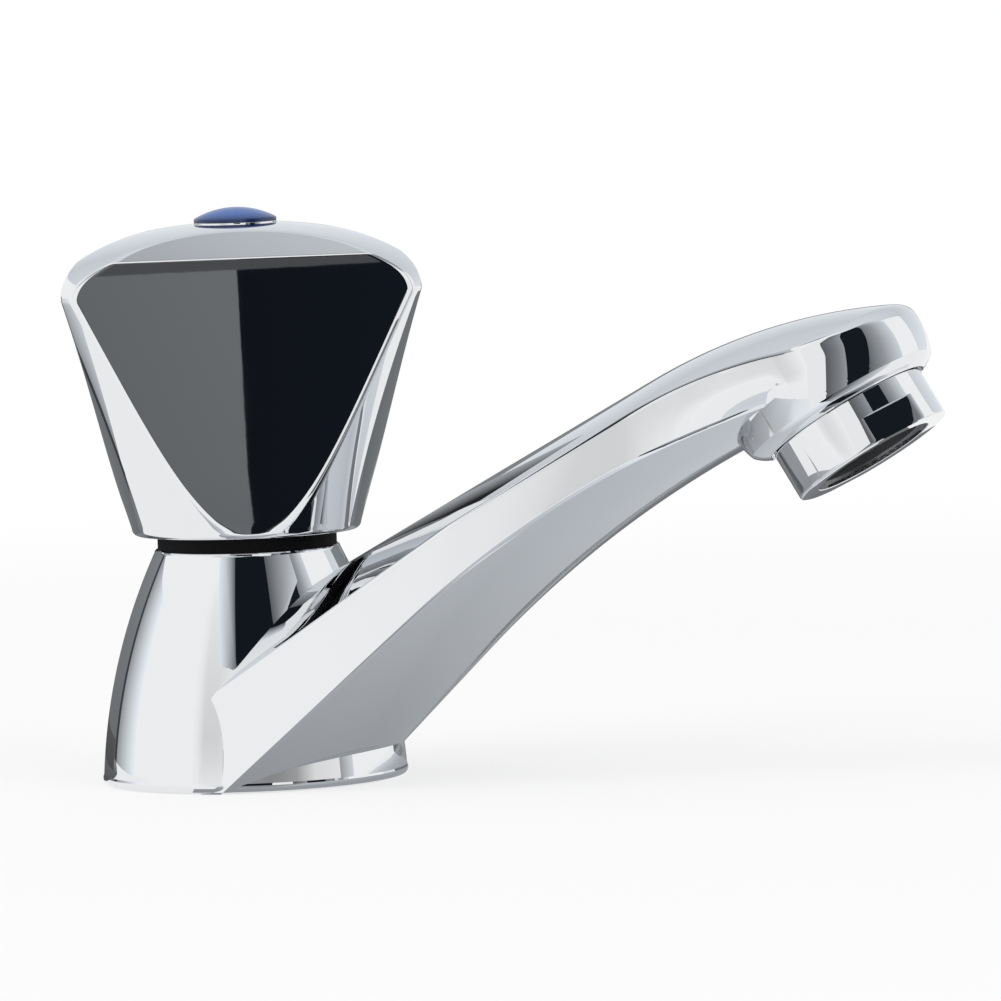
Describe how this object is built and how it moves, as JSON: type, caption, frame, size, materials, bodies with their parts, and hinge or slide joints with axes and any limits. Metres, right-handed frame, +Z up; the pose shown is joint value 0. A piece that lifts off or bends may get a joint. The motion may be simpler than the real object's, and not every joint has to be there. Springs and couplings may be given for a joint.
{
  "type": "basin tap",
  "caption": "Chrome basin tap with a slanted wide spout, a three-sided domed screw-down handle with a blue index cap, and a tilted aerator.",
  "frame": {"origin": "centre of the base's underside, on the axis of the inlet, valve and handle", "axes": "+Z up along the valve's axis, +X towards the outlet, +Y to the left as seen from behind the tap looking along +X"},
  "size_m": [0.1312, 0.0526, 0.0843],
  "materials": {
    "body_chrome": "mirror polished",
    "handle_chrome": "mirror polished",
    "valve_brass": "machined",
    "steel": "satin",
    "seal_rubber": "matt",
    "fibre_gasket": "matt",
    "black_plastic": "matt",
    "white_plastic": "matt",
    "grey_plastic": "matt",
    "blue_cap": "gloss"
  },
  "bodies": {
    "body": {"tap_body": "body_chrome", "base_gasket": "seal_rubber", "headpart_body": "valve_brass", "headpart_gasket": "fibre_gasket", "neck_ring": "black_plastic", "thrust_washer": "white_plastic", "aerator_housing": "body_chrome", "aerator_gasket": "seal_rubber", "aerator_cartridge": "white_plastic", "aerator_grille": "grey_plastic", "aerator_screen": "steel", "flow_regulator": "white_plastic"},
    "handle": {"handle": "handle_chrome", "handle_insert": "white_plastic", "screw_washer": "steel", "handle_screw": "steel", "index_cap": "blue_cap", "spindle": "valve_brass", "spindle_o_ring_lower": "seal_rubber", "spindle_o_ring_upper": "seal_rubber", "spindle_circlip": "steel"},
    "plunger": {"valve_plunger": "valve_brass", "plunger_o_ring": "seal_rubber", "seat_washer": "seal_rubber", "washer_screw": "valve_brass"}
  },
  "joints": [
    {"name": "handle_turn", "type": "hinge", "parent": "body", "child": "handle", "pos_m": [0, 0, 0], "axis": [0, 0, 1], "range_deg": [0, 630]},
    {"name": "valve_lift", "type": "slide", "parent": "body", "child": "plunger", "axis": [0, 0, 1], "range_m": [0, 0.0035]}
  ],
  "couplings": [
    {"joint": "valve_lift", "follows": "handle_turn", "m_per_rad": 0.0003183}
  ]
}
